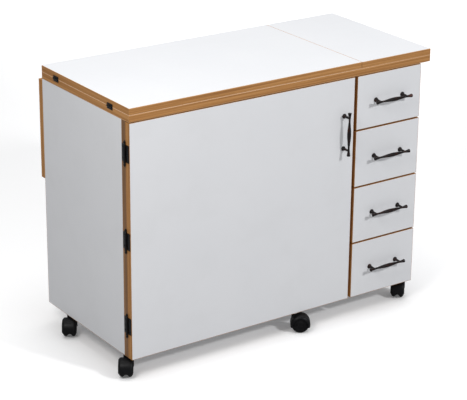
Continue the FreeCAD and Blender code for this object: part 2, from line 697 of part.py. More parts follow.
def caster_hood():
    """Domed hood, centre web and stem: stem on Z, wheels trailing along +X, axle along Y."""
    half = WEB_THICKNESS / 2 + WHEEL_SIDE_GAP + WHEEL_WIDTH
    inner = WHEEL_RADIUS + HOOD_GAP
    outer = inner + HOOD_WALL
    rim = WHEEL_RADIUS - HOOD_RIM
    boss_high = BODY_LOW - SOCKET_FLANGE - SWIVEL_GAP
    dome = [
        (outer, half - 7.5),
        (outer - 0.8, half - 4.0),
        (outer - 3.2, half - 1.0),
        (rim + 1.4, half + 1.0),
        (rim, half + 1.0),
        (0, half + 1.0),
    ]
    hollow = [
        (inner, half - 7.2),
        (inner - 0.8, half - 4.6),
        (rim + 2.0, half - 2.0),
        (rim, half - 1.0),
        (rim, half + 2.0),
        (0, half + 2.0),
    ]
    room = about_axle(mirrored(hollow))
    low = WHEEL_RADIUS - HOOD_LOW
    boss = rod(CASTER_BOSS_RADIUS, boss_high - WHEEL_RADIUS, (0, 0, WHEEL_RADIUS))
    shell = about_axle(mirrored(dome)).common(
        block(
            (CASTER_TRAIL - outer, CASTER_TRAIL + outer),
            (-half - 1.0, half + 1.0),
            (low, WHEEL_RADIUS + outer),
        )
    )
    shell = shell.fuse(boss).cut(room)
    web_start = (CASTER_TRAIL, -WEB_THICKNESS / 2, WHEEL_RADIUS)
    web = rod(inner + HOOD_WALL / 2, WEB_THICKNESS, web_start, Y_AXIS)
    web = web.common(
        block(
            (CASTER_TRAIL - outer, CASTER_TRAIL + outer),
            (-WEB_THICKNESS, WEB_THICKNESS),
            (low, WHEEL_RADIUS + outer),
        )
    )
    stem = rod(STEM_RADIUS, STEM_LENGTH + SOCKET_FLANGE, (0, 0, boss_high - 1.0))
    hood = shell.fuse([web, stem])
    axle = (CASTER_TRAIL, -half, WHEEL_RADIUS)
    axle_bore = rod(AXLE_RADIUS + RUNNING_CLEARANCE, 2 * half, axle, Y_AXIS)
    return hood.cut(axle_bore).removeSplitter()


def caster_wheels():
    """Two domed wheels and the axle that they are pressed on."""
    inner = WEB_THICKNESS / 2 + WHEEL_SIDE_GAP
    outer = inner + WHEEL_WIDTH
    radius = WHEEL_RADIUS
    tread = inner + 6.6
    bore = AXLE_RADIUS + FIT_GAP
    profile = [
        (bore, inner),
        (0.76 * radius, inner),
        (radius - 0.6, tread - 1.0),
        (radius, tread),
        (radius, tread + TREAD_WIDTH),
        (radius - 0.8, tread + TREAD_WIDTH + 1.8),
        (0.89 * radius, outer - 3.6),
        (0.745 * radius, outer - 1.4),
        (0.54 * radius, outer - 0.3),
        (0.28 * radius, outer),
        (bore, outer),
    ]
    other = [(distance, -across) for distance, across in profile]
    reach = outer - 1.0
    axle = rod(AXLE_RADIUS, 2 * reach, (CASTER_TRAIL, -reach, WHEEL_RADIUS), Y_AXIS)
    return [about_axle(profile), about_axle(other), axle]


def casters():
    nodes = {"caster_sockets": []}
    for name, (x, y) in STEM_POINTS.items():
        yaw = math.radians(CASTER_YAW_DEG[name])
        trail = FreeCAD.Vector(math.cos(yaw), math.sin(yaw), 0)
        axle = FreeCAD.Vector(-math.sin(yaw), math.cos(yaw), 0)
        nodes[f"caster_{name}_hood"] = [placed(caster_hood(), (x, y, 0), trail, axle)]
        wheels = [placed(solid, (x, y, 0), trail, axle) for solid in caster_wheels()]
        nodes[f"caster_{name}_wheels"] = wheels
        socket = caster_socket((x, y))
        if name == "door":
            nodes["door_caster_socket"] = [socket]
        else:
            nodes["caster_sockets"].append(socket)
    return nodes


# ---------------------------------------------------------------- assembly
def build_nodes():
    nodes = {}
    groups = (
        carcass_boards,
        top_boards,
        door_hinges,
        top_hinges,
        rear_hinges,
        rear_brackets,
        drawers,
        door_parts,
        machine_lift,
        casters,
    )
    for group in groups:
        nodes.update(group())
    return nodes


def origin_shift(nodes):
    """The move that puts the origin on the floor, under the middle of everything."""
    whole = FreeCAD.BoundBox()
    for solids in nodes.values():
        for solid in solids:
            whole.add(solid.optimalBoundingBox(False, False))
    return FreeCAD.Vector(
        -(whole.XMin + whole.XMax) / 2, -(whole.YMin + whole.YMax) / 2, -whole.ZMin
    )


def main():
    os.makedirs("parts", exist_ok=True)
    nodes = build_nodes()
    shift = origin_shift(nodes)
    for name, solids in nodes.items():
        shape = solids[0] if len(solids) == 1 else Part.makeCompound(solids)
        shape.translate(shift)
        shape.exportStep(f"parts/{name}.step")
        bad = [solid for solid in shape.Solids if not solid.isValid()]
        print(name, len(shape.Solids), "solids", "INVALID" if bad else "valid")
    print("moved by", shift)


if __name__ == "__main__":
    main()
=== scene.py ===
import json
import math

import bmesh
import bpy
from mathutils import Matrix, Vector

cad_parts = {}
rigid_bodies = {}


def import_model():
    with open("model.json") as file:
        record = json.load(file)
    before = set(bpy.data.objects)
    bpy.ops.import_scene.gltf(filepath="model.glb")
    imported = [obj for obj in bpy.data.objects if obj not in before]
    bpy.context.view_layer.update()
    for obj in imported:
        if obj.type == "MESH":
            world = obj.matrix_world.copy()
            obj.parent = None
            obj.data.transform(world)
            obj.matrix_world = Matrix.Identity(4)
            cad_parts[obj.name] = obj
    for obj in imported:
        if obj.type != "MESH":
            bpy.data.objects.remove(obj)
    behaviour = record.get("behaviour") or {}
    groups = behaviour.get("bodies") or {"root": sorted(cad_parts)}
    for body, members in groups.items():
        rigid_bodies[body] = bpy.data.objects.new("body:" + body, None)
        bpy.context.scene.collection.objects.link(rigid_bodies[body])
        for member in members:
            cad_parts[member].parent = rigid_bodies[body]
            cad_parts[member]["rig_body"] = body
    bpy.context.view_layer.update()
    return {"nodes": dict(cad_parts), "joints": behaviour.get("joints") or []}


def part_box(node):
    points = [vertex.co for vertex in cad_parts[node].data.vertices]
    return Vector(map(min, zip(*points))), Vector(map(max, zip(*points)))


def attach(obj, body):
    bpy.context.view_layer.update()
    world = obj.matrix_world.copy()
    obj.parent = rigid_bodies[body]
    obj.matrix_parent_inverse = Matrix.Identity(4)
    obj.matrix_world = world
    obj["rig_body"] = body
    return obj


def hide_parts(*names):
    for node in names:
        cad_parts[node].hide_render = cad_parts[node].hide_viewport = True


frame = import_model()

# Looks of a folding sewing cabinet: laminated boards with oak edge bands, black hinges,
# bronze spindle pulls and hooded twin-wheel casters. Metres, in the frame's own axes.
MM = 0.001

# Boards
BAND = 0.8 * MM              # oak edge band
LIP = 0.7 * MM               # laminate that shows beside the band on the two tops
ARRIS = 0.35 * MM            # rounding of every board edge
SHEET_INSET = 0.1 * MM       # laminate that stops short of the band where it shows
CUTOUT_CORNER = 12 * MM
CUTOUT_MARGIN = 10 * MM      # cut-out round the lift platform
DRAWER_SIDE = 12 * MM
DRAWER_BOTTOM = 6 * MM
DRAWER_BOTTOM_RAISE = 8 * MM
PLY_ARRIS = 0.5 * MM
STILE_ARRIS = 0.5 * MM

# Pulls
PULL_LENGTH = 128 * MM
PULL_SPACING = 96 * MM
PULL_STANDOFF = 25 * MM
POST_REACH = 24 * MM         # post's end inside the bar

# Casters
WHEEL_RADIUS = 25 * MM
WHEEL_WIDTH = 17 * MM
WHEEL_INNER = 3 * MM         # wheel's inner face from the middle of the caster
HOOD_INNER = 26.2 * MM
HOOD_OUTER = 29 * MM
HOOD_RIM = 21 * MM           # hood's rim over the wheels' sides
HOOD_HALF = 21 * MM
HOOD_DROP = 16               # degrees that the hood reaches under the axle
WEB_HALF = 2.5 * MM
BOSS_RADIUS = 8 * MM
BOSS_LOW = 20.5 * MM         # heights above the axle
BOSS_TOP = 32.6 * MM
STEM_RADIUS = 4 * MM
STEM_LENGTH = 35 * MM
AXLE_RADIUS = 3 * MM
SOCKET_RADIUS = 5.5 * MM
SOCKET_DEPTH = 38 * MM

# Metalwork
DOOR_HINGE_PLATE = 1.6 * MM
DOOR_HINGE_SCREW_STEP = 16   # mm between screws along a leaf
TOP_HINGE_PLATE = 1.4 * MM
TOP_HINGE_SCREW_EDGE = 3.0 * MM
SLIDE_WALL = 1.5 * MM

MERGE = 1e-6                 # metres: corners closer than this are one
SOFTENED = 0.6               # radians: sharper edges than this are rounded

X, Y, Z = Vector((1, 0, 0)), Vector((0, 1, 0)), Vector((0, 0, 1))


# ------------------------------------------------------------------ materials
class Wire:
    """One value in a material. Arithmetic on it adds Math nodes."""

    def __init__(self, finish, socket):
        self.finish = finish
        self.socket = socket

    def math(self, operation, *values):
        sockets = dict(enumerate(values))
        return self.finish.node("ShaderNodeMath", sockets, operation=operation)

    def __add__(self, other):
        return self.math("ADD", self, other)

    def __mul__(self, other):
        return self.math("MULTIPLY", self, other)

    def __sub__(self, other):
        return self.math("SUBTRACT", self, other)

    def __rsub__(self, other):
        return self.math("SUBTRACT", other, self)

    def __pow__(self, other):
        return self.math("POWER", self, other)

    __radd__ = __add__
    __rmul__ = __mul__


class Finish:
    """A material: its surface and the nodes that drive it."""

    def __init__(self, name, **surface):
        self.material = bpy.data.materials.new(name)
        self.material.use_nodes = True
        self.tree = self.material.node_tree
        self.surface = self.tree.nodes["Principled BSDF"]
        for words, value in surface.items():
            title = words.replace("_", " ").title().replace("Ior", "IOR")
            self.surface.inputs[title].default_value = value

    def feed(self, socket, value):
        if isinstance(value, Wire):
            self.tree.links.new(value.socket, socket)
        elif isinstance(value, tuple) and len(value) == 3 and socket.type == "RGBA":
            socket.default_value = (*value, 1)
        else:
            socket.default_value = value

    def node(self, kind, sockets=None, out=0, stops=None, **settings):
        made = self.tree.nodes.new(kind)
        for name, value in settings.items():
            setattr(made, name, value)
        if stops:
            self.set_stops(made.color_ramp, stops)
        for name, value in (sockets or {}).items():
            self.feed(made.inputs[name], value)
        return Wire(self, made.outputs[out])

    @staticmethod
    def set_stops(ramp, stops):
        while len(ramp.elements) < len(stops):
            ramp.elements.new(0.5)
        for element, (place, colour) in zip(ramp.elements, stops):
            element.position = place
            element.color = (*colour, 1)

    def place(self, stretch=(1, 1, 1), source="Object"):
        """Coordinates in metres, scaled along each axis."""
        where = self.node("ShaderNodeTexCoord", out=source)
        return self.node("ShaderNodeMapping", {"Vector": where, "Scale": stretch})

    def noise(self, where, scale, detail=2.0, roughness=0.5):
        sockets = {"Vector": where, "Scale": scale, "Detail": detail, "Roughness": roughness}
        return self.node("ShaderNodeTexNoise", sockets)

    def band(self, value, low, high):
        """0 under low, 1 over high, smooth between."""
        sockets = {"Value": value, "From Min": low, "From Max": high}
        return self.node("ShaderNodeMapRange", sockets, interpolation_type="SMOOTHSTEP")

    def ramp(self, value, stops):
        return self.node("ShaderNodeValToRGB", {"Fac": value}, stops=stops)

    def mix(self, share, first, second):
        sockets = {0: share, 6: first, 7: second}
        return self.node("ShaderNodeMix", sockets, out=2, data_type="RGBA")

    def show(self, name, value):
        self.feed(self.surface.inputs[name], value)

    def bump(self, height, strength, depth):
        sockets = {"Height": height, "Strength": strength, "Distance": depth}
        self.show("Normal", self.node("ShaderNodeBump", sockets))


def laminate_white():
    """Satin melamine: an even cool white with a fine pearl texture."""
    f = Finish("laminate_white", coat_weight=0.12, coat_roughness=0.25)
    where = f.place()
    cloud = f.noise(where, 4.0)
    handled = f.band(f.noise(where, 11.0, 4.0), 0.45, 0.75)
    pearl = f.noise(where, 1400.0, 3.0, 0.6)
    tone = f.mix(cloud, (0.735, 0.745, 0.765), (0.775, 0.782, 0.797))
    f.show("Base Color", f.mix(handled * 0.25, tone, (0.70, 0.705, 0.715)))
    f.show("Roughness", 0.33 + handled * 0.09 + pearl * 0.06)
    f.bump(pearl, 0.10, 0.25 * MM)
    return f.material


def oak(name, dark, middle, light, source="UV"):
    """Oak with broad growth bands, long fibres and short open pores, along the first axis."""
    f = Finish(name, specular_ior_level=0.3)
    growth = f.noise(f.place((2.2, 210.0, 90.0), source), 1.0, 3.0)
    fibres = f.noise(f.place((12.0, 1100.0, 700.0), source), 1.0, 4.0, 0.65)
    pores = f.band(f.noise(f.place((50.0, 2600.0, 1500.0), source), 1.0, 2.0), 0.60, 0.74)
    tone = growth * 0.7 + fibres * 0.3
    wood = f.ramp(tone, [(0.34, dark), (0.49, middle), (0.64, light)])
    f.show("Base Color", f.mix(pores * 0.5, wood, tuple(0.5 * c for c in dark)))
    f.show("Roughness", 0.48 + fibres * 0.16 + pores * 0.15)
    f.bump(fibres * 0.5 - pores, 0.35, 0.12 * MM)
    return f.material


def sheet_edge():
    """The tan core of the laminate, seen where a sheet is trimmed."""
    f = Finish("sheet_edge", specular_ior_level=0.3)
    layers = f.noise(f.place(), 900.0, 3.0)
    f.show("Base Color", f.mix(layers, (0.66, 0.40, 0.22), (0.76, 0.50, 0.30)))
    f.show("Roughness", 0.55 + layers * 0.15)
    f.bump(layers, 0.2, 0.08 * MM)
    return f.material


def birch_face():
    """Pale birch ply face with a thin clear coat."""
    f = Finish("birch_face", coat_weight=0.1, coat_roughness=0.35)
    flame = f.noise(f.place((5.0, 60.0, 60.0), "UV"), 1.0, 4.0)
    fibres = f.noise(f.place((18.0, 900.0, 900.0), "UV"), 1.0, 3.0, 0.6)
    tone = flame * 0.7 + fibres * 0.3
    stops = [(0.32, (0.50, 0.33, 0.17)), (0.5, (0.62, 0.45, 0.26)), (0.7, (0.70, 0.54, 0.34))]
    f.show("Base Color", f.ramp(tone, stops))
    f.show("Roughness", 0.45 + fibres * 0.15)
    f.bump(fibres, 0.2, 0.1 * MM)
    return f.material


def birch_edge():
    """The layered edge of birch ply: light and dark plies in turn, 1.5 mm each."""
    f = Finish("birch_edge")
    where = f.place((1.0, 1.0, 1.0), "UV")
    across = f.node("ShaderNodeSeparateXYZ", {"Vector": where}, out=1)
    plies = f.band(across.math("PINGPONG", across, 1.5 * MM) * 1000.0, 0.55, 0.95)
    fibres = f.noise(f.place((30.0, 1500.0, 900.0), "UV"), 1.0, 3.0)
    pale = f.mix(fibres, (0.52, 0.36, 0.20), (0.66, 0.50, 0.31))
    f.show("Base Color", f.mix(plies * 0.75, pale, (0.27, 0.155, 0.075)))
    f.show("Roughness", 0.6 + fibres * 0.2)
    f.bump(plies * 0.6 + fibres * 0.4, 0.3, 0.1 * MM)
    return f.material


def enamel_black():
    """Black enamel on pressed steel, rubbed through in specks."""
    f = Finish("enamel_black", specular_ior_level=0.25)
    where = f.place()
    peel = f.noise(where, 700.0, 3.0)
    rubbed = f.band(f.noise(where, 320.0, 5.0, 0.7), 0.66, 0.74)
    f.show("Base Color", f.mix(rubbed * 0.5, (0.004, 0.004, 0.005), (0.05, 0.048, 0.045)))
    f.show("Metallic", rubbed * 0.7)
    f.show("Roughness", 0.32 + peel * 0.18)
    f.bump(peel - rubbed * 0.5, 0.15, 0.1 * MM)
    return f.material


def bronze_rubbed():
    """Dark oil-rubbed bronze, redder where hands polish it."""
    f = Finish("bronze_rubbed", specular_ior_level=0.35)
    where = f.place()
    patina = f.noise(where, 90.0, 4.0, 0.6)
    specks = f.noise(where, 900.0, 3.0, 0.6)
    polished = f.band(patina, 0.48, 0.72)
    f.show("Base Color", f.mix(polished, (0.008, 0.005, 0.005), (0.065, 0.026, 0.021)))
    f.show("Metallic", 0.4 + polished * 0.5)
    f.show("Roughness", 0.34 - polished * 0.1 + specks * 0.1)
    f.bump(specks, 0.18, 0.08 * MM)
    return f.material


def nylon_black():
    """Moulded black nylon with a spark-eroded grain."""
    f = Finish("nylon_black", specular_ior_level=0.16)
    where = f.place()
    grain = f.noise(where, 2200.0, 2.0)
    flow = f.noise(where, 35.0, 3.0)
    f.show("Base Color", f.mix(flow, (0.0025, 0.0025, 0.003), (0.007, 0.007, 0.008)))
    f.show("Roughness", 0.32 + flow * 0.12 + grain * 0.1)
    f.bump(grain, 0.2, 0.08 * MM)
    return f.material


def wheel_black():
    """Hard black tread, scuffed grey with floor dust."""
    f = Finish("wheel_black", specular_ior_level=0.14)
    where = f.place()
    scuffs = f.band(f.noise(where, 160.0, 5.0, 0.7), 0.52, 0.72)
    grain = f.noise(where, 1600.0, 2.0)
    f.show("Base Color", f.mix(scuffs * 0.3, (0.003, 0.003, 0.0035), (0.036, 0.035, 0.033)))
    f.show("Roughness", 0.45 + scuffs * 0.25 + grain * 0.08)
    f.bump(grain * 0.6 - scuffs * 0.5, 0.25, 0.1 * MM)
    return f.material


def sheet_zinc(name, stretch):
    """Bright zinc plate with rolling lines along one axis and a faint spangle."""
    f = Finish(name)
    rolled = f.noise(f.place(stretch), 1.0, 4.0, 0.6)
    spangle = f.noise(f.place(), 60.0, 2.0)
    f.show("Base Color", f.mix(spangle, (0.50, 0.51, 0.52), (0.62, 0.62, 0.61)))
    f.show("Metallic", 0.92 + spangle * 0.05)
    f.show("Roughness", 0.26 + rolled * 0.2)
    f.bump(rolled, 0.12, 0.05 * MM)
    return f.material


def powder_black():
    """Black powder coat with a soft orange peel."""
    f = Finish("powder_black")
    where = f.place()
    peel = f.noise(where, 1100.0, 2.0)
    dust = f.band(f.noise(where, 24.0, 4.0), 0.5, 0.8)
    f.show("Base Color", f.mix(dust * 0.4, (0.016, 0.016, 0.017), (0.05, 0.05, 0.048)))
    f.show("Roughness", 0.48 + peel * 0.15 + dust * 0.1)
    f.bump(peel, 0.25, 0.1 * MM)
    return f.material


def chrome_rod():
    """Ground and chromed rod with fine turning lines."""
    f = Finish("chrome_rod")
    turning = f.noise(f.place((40.0, 40.0, 4000.0)), 1.0, 2.0)
    film = f.noise(f.place(), 45.0, 3.0)
    f.show("Base Color", f.mix(film, (0.66, 0.67, 0.69), (0.76, 0.77, 0.78)))
    f.show("Metallic", 0.96 + film * 0.04)
    f.show("Roughness", 0.07 + turning * 0.05 + film * 0.06)
    f.bump(turning, 0.05, 0.02 * MM)
    return f.material


def catch_brown():
    """Brown moulded catch body."""
    f = Finish("catch_brown")
    where = f.place()
    grain = f.noise(where, 1800.0, 2.0)
    flow = f.noise(where, 120.0, 3.0)
    f.show("Base Color", f.mix(flow, (0.10, 0.055, 0.030), (0.15, 0.085, 0.050)))
    f.show("Roughness", 0.5 + grain * 0.15)
    f.bump(grain, 0.2, 0.08 * MM)
    return f.material


LAMINATE = laminate_white()
SHEET_EDGE = sheet_edge()
OAK_BAND = oak("oak_band", (0.275, 0.116, 0.031), (0.415, 0.193, 0.058), (0.53, 0.268, 0.093))
# The stile's oak is the band oak darkened: painted shade in place of the shadow of a recessed
# stile.
OAK_STILE_PAINTED_SHADE = oak("oak_stile_painted_shade", (0.13, 0.065, 0.028), (0.225, 0.115, 0.050), (0.31, 0.165, 0.075))
BIRCH = birch_face()
BIRCH_EDGE = birch_edge()
ENAMEL = enamel_black()
BRONZE = bronze_rubbed()
NYLON = nylon_black()
TREAD = wheel_black()
ZINC_LONG = sheet_zinc("zinc_slide", (900.0, 20.0, 900.0))
ZINC_TALL = sheet_zinc("zinc_bracket", (900.0, 900.0, 20.0))
POWDER = powder_black()
CHROME = chrome_rod()
CATCH = catch_brown()


# ------------------------------------------------------------------ mesh helpers
def body_of_node(node):
    return frame["nodes"][node]["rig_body"]


def new_piece(name, mesh, body, materials, nodes=()):
    """A finished piece on its body, standing for the nodes named."""
    piece = bpy.data.objects.new(name, mesh)
    bpy.context.scene.collection.objects.link(piece)
    mesh.name = name
    if mesh.materials:
        mesh.materials.clear()
    for material in materials:
        mesh.materials.append(material)
    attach(piece, body)
    if nodes:
        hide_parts(*nodes)
    return piece


def to_mesh(bm, smooth_angle=None):
    """The finished mesh; faces that meet at less than the angle are shaded as one."""
    mesh = bpy.data.meshes.new("mesh")
    bm.to_mesh(mesh)
    bm.free()
    if smooth_angle is not None:
        mesh.shade_smooth()
        mesh.set_sharp_from_angle(angle=math.radians(smooth_angle))
    return mesh


def grain_uv(bm, faces, along):
    """UV in metres: first along the grain, then across it."""
    layer = bm.loops.layers.uv.verify()
    others = [axis for axis in range(3) if axis != along]
    for face in faces:
        for loop in face.loops:
            point = loop.vert.co
            loop[layer].uv = (point[along], point[others[0]] + point[others[1]])


def add_block(bm, low, high, along, arris=ARRIS, slot=0):
    """A block with rounded edges, its grain running along one axis."""
    known = set(bm.faces)
    low, high = Vector(low), Vector(high)
    size = Matrix.Diagonal((*(high - low), 1))
    cube = bmesh.ops.create_cube(bm, size=1, matrix=Matrix.Translation((low + high) / 2) @ size)
    edges = {edge for vert in cube["verts"] for edge in vert.link_edges}
    bmesh.ops.bevel(bm, geom=list(edges), offset=arris, segments=2, affect="EDGES", profile=0.5)
    faces = [face for face in bm.faces if face not in known]
    for face in faces:
        face.material_index = slot
    grain_uv(bm, faces, along)
    return faces


def lathe(bm, profile, origin, axis, start, sides=40):
    """A closed solid turned about an axis from (radius, height) points that end on it."""
    origin, axis, start = Vector(origin), Vector(axis), Vector(start)
    across = axis.cross(start)
    rings = []
    for radius, height in profile:
        centre = origin + axis * height
        if radius < 1e-7:
            rings.append([bm.verts.new(centre)])
            continue
        ring = []
        for side in range(sides):
            turn = math.tau * side / sides
            outward = start * math.cos(turn) + across * math.sin(turn)
            ring.append(bm.verts.new(centre + radius * outward))
        rings.append(ring)
    for lower, upper in zip(rings, rings[1:]):
        for side in range(sides):
            other = (side + 1) % sides
            corners = [lower[side % len(lower)], lower[other % len(lower)]]
            corners += [upper[other % len(upper)], upper[side % len(upper)]]
            corners = list(dict.fromkeys(corners))
            if len(corners) > 2:
                bm.faces.new(corners)
    bmesh.ops.recalc_face_normals(bm, faces=bm.faces)


def eased(points, steps=5):
    """More points on a smooth curve through (radius, height) points."""
    curve = []
    for i in range(len(points) - 1):
        before, a = points[max(i - 1, 0)], points[i]
        b, after = points[i + 1], points[min(i + 2, len(points) - 1)]
        for step in range(steps):
            t = step / steps
            curve.append(tuple(
                0.5 * (2 * a[k] + (b[k] - before[k]) * t
                       + (2 * before[k] - 5 * a[k] + 4 * b[k] - after[k]) * t * t
                       + (3 * a[k] - before[k] - 3 * b[k] + after[k]) * t ** 3)
                for k in (0, 1)
            ))
    return curve + [points[-1]]


def joined(meshes, smooth_angle=35):
    """One closed mesh from several overlapping ones."""
    objects = []
    for mesh in meshes:
        shape = bpy.data.objects.new("joining", mesh)
        bpy.context.scene.collection.objects.link(shape)
        objects.append(shape)
    for other in objects[1:]:
        union = objects[0].modifiers.new("union", "BOOLEAN")
        union.operation = "UNION"
        union.solver = "EXACT"
        union.object = other
    graph = bpy.context.evaluated_depsgraph_get()
    mesh = bpy.data.meshes.new_from_object(objects[0].evaluated_get(graph), depsgraph=graph)
    for shape in objects:
        bpy.data.objects.remove(shape)
    mesh.shade_smooth()
    mesh.set_sharp_from_angle(angle=math.radians(smooth_angle))
    return mesh


def merged(meshes, smooth_angle=35):
    """Several separate closed shapes in one mesh."""
    bm = bmesh.new()
    for mesh in meshes:
        bm.from_mesh(mesh)
    return to_mesh(bm, smooth_angle)


def turned_copy(mesh, matrix):
    copy = mesh.copy()
    copy.transform(matrix)
    return copy


def world_matrix(origin, x_axis, y_axis):
    """Turns a shape's own X and Y to two directions, then moves it."""
    columns = Matrix((x_axis, y_axis, x_axis.cross(y_axis))).transposed()
    return Matrix.Translation(origin) @ columns.to_4x4()


def refined(node, material, width=0.3 * MM, along=2):
    """A node's shape with merged faces and softened edges, in its own piece."""
    bm = bmesh.new()
    bm.from_mesh(frame["nodes"][node].data)
    bmesh.ops.remove_doubles(bm, verts=bm.verts, dist=MERGE)
    bmesh.ops.dissolve_limit(
        bm, angle_limit=math.radians(1.0), verts=bm.verts, edges=bm.edges, delimit={"NORMAL"}
    )
    sharp = [e for e in bm.edges if len(e.link_faces) == 2 and e.calc_face_angle(0) > SOFTENED]
    bmesh.ops.bevel(
        bm, geom=sharp, offset=width, segments=2, affect="EDGES", profile=0.5, clamp_overlap=True
    )
    grain_uv(bm, bm.faces, along)
    mesh = to_mesh(bm, 32)
    return new_piece(node + "_finished", mesh, body_of_node(node), [material], [node])


# ------------------------------------------------------------------ boards
def strips(low, high, thin, thickness, lip):
    """Four bands round a board's edges, two of them over the ends of the others."""
    first, second = [axis for axis in range(3) if axis != thin]
    made = []
    for axis, other, inset in ((first, second, 0.0), (second, first, thickness)):
        for at_high in (False, True):
            a, b = list(low), list(high)
            a[thin] += lip
            b[thin] -= lip
            a[axis] += inset
            b[axis] -= inset
            if at_high:
                a[other] = b[other] - thickness
            else:
                b[other] = a[other] + thickness
            made.append((a, b, axis))
    return made


def stem_bores(low, high):
    """Places where a caster's stem goes up into a board, on the board's lower face."""
    places = []
    for joint in frame["joints"]:
        if joint["name"].endswith("_swivel"):
            x, y = joint["pos_m"][:2]
            if low[0] < x < high[0] and low[1] < y < high[1] and low[2] < 0.1:
                places.append(Vector((x, y, low[2])))
    return places


def bored(mesh, places):
    """The mesh with a socket's bore cut up into it at each place."""
    if not places:
        return mesh
    board = bpy.data.objects.new("board", mesh)
    bpy.context.scene.collection.objects.link(board)
    drills = []
    for place in places:
        bm = bmesh.new()
        profile = [
            (0, -MM), (SOCKET_RADIUS, -MM), (SOCKET_RADIUS, SOCKET_DEPTH), (0, SOCKET_DEPTH)
        ]
        lathe(bm, profile, place, Z, X, 32)
        drill = bpy.data.objects.new("drill", to_mesh(bm))
        bpy.context.scene.collection.objects.link(drill)
        drills.append(drill)
        cut = board.modifiers.new("bore", "BOOLEAN")
        cut.operation = "DIFFERENCE"
        cut.solver = "EXACT"
        cut.object = drill
    graph = bpy.context.evaluated_depsgraph_get()
    result = bpy.data.meshes.new_from_object(board.evaluated_get(graph), depsgraph=graph)
    for shape in drills + [board]:
        bpy.data.objects.remove(shape)
    return result


def laminated_board(node, thin, lip=0.0):
    """White faces on a core, with an oak band let in round the four edges."""
    low, high = (list(corner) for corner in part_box(node))
    inset = SHEET_INSET if lip else BAND
    core_low = [c + (0 if axis == thin else inset) for axis, c in enumerate(low)]
    core_high = [c - (0 if axis == thin else inset) for axis, c in enumerate(high)]
    body = body_of_node(node)
    white = bmesh.new()
    for face in add_block(white, core_low, core_high, (thin + 1) % 3):
        face.material_index = 0 if abs(face.normal[thin]) > 0.99 or not lip else 1
    mesh = bored(to_mesh(white), stem_bores(low, high))
    materials = [LAMINATE, SHEET_EDGE] if lip else [LAMINATE]
    new_piece(node + "_laminate", mesh, body, materials, [node])
    bands = []
    for a, b, along in strips(low, high, thin, BAND, lip):
        strip = bmesh.new()
        add_block(strip, a, b, along)
        bands.append(bored(to_mesh(strip), stem_bores(a, b)))
    new_piece(node + "_band", merged(bands, None), body, [OAK_BAND])


def rounded_outline(low, high, radius, inset):
    """Corner points of a rectangle with round corners, drawn inside or outside by inset."""
    points = []
    corners = ((high, high, 0), (low, high, 90), (low, low, 180), (high, low, 270))
    for x_from, y_from, start in corners:
        x = x_from[0] - math.copysign(radius, 1 if x_from is high else -1)
        y = y_from[1] - math.copysign(radius, 1 if y_from is high else -1)
        for step in range(7):
            turn = math.radians(start + 15 * step)
            reach = radius - inset
            points.append((x + reach * math.cos(turn), y + reach * math.sin(turn)))
    return points


def plate(outlines, low, high, arris=ARRIS):
    """A flat plate between two heights, with an outer outline and holes in it."""
    curve = bpy.data.curves.new("outline", "CURVE")
    curve.dimensions = "2D"
    curve.fill_mode = "BOTH"
    curve.extrude = (high - low) / 2 - arris
    curve.bevel_depth = arris
    curve.bevel_resolution = 1
    curve.offset = -arris
    for outline in outlines:
        spline = curve.splines.new("POLY")
        spline.points.add(len(outline) - 1)
        spline.use_cyclic_u = True
        for point, (x, y) in zip(spline.points, outline):
            point.co = (x, y, 0, 1)
    shape = bpy.data.objects.new("outline", curve)
    bpy.context.scene.collection.objects.link(shape)
    graph = bpy.context.evaluated_depsgraph_get()
    mesh = bpy.data.meshes.new_from_object(shape.evaluated_get(graph))
    bpy.data.objects.remove(shape)
    bm = bmesh.new()
    bm.from_mesh(mesh)
    bmesh.ops.translate(bm, verts=bm.verts, vec=(0, 0, (low + high) / 2))
    bmesh.ops.remove_doubles(bm, verts=bm.verts, dist=MERGE)
    bmesh.ops.recalc_face_normals(bm, faces=bm.faces)
    return bm


def edge_uv(bm):
    """Grain that follows a flat ring: along the side that each face is nearest to."""
    layer = bm.loops.layers.uv.verify()
    for face in bm.faces:
        along = 1 if abs(face.normal.x) > abs(face.normal.y) else 0
        for loop in face.loops:
            point = loop.vert.co
            loop[layer].uv = (point[along], point[1 - along] + point.z)


def fixed_top():
    """The lower top with the machine's cut-out, banded outside and inside."""
    low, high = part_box("fixed_top")
    bed_low, bed_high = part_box("lift_platform")
    margin = Vector((CUTOUT_MARGIN, CUTOUT_MARGIN, 0))
    hole_low, hole_high = bed_low - margin, bed_high + margin
    inset = SHEET_INSET
    sheet = [
        (low.x + inset, low.y + inset), (high.x - inset, low.y + inset),
        (high.x - inset, high.y - inset), (low.x + inset, high.y - inset),
    ]
    hole = rounded_outline(hole_low, hole_high, CUTOUT_CORNER, -BAND)
    white = plate([sheet, hole], low.z, high.z)
    for face in white.faces:
        face.material_index = 0 if abs(face.normal.z) > 0.99 else 1
    grain_uv(white, white.faces, 0)
    materials = [LAMINATE, SHEET_EDGE]
    new_piece(
        "fixed_top_laminate", to_mesh(white), "cabinet", materials, ["fixed_top"]
    )
    bands = bmesh.new()
    for a, b, along in strips(low, high, 2, BAND, LIP):
        add_block(bands, a, b, along)
    new_piece("fixed_top_band", to_mesh(bands), "cabinet", [OAK_BAND])
    inner = rounded_outline(hole_low, hole_high, CUTOUT_CORNER, 0)
    ring = plate([hole, inner], low.z, high.z)
    edge_uv(ring)
    new_piece("cut_out_band", to_mesh(ring, 30), "cabinet", [OAK_BAND])


def hinge_stile():
    """A solid oak upright that takes the door hinges' screws. Its oak is a darker copy of the
    band oak: painted shade for a recess that this flush stile does not have.
    """
    low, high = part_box("hinge_stile")
    bm = bmesh.new()
    add_block(bm, low, high, 2, STILE_ARRIS)
    new_piece("hinge_stile_oak", to_mesh(bm), "cabinet", [OAK_STILE_PAINTED_SHADE], ["hinge_stile"])


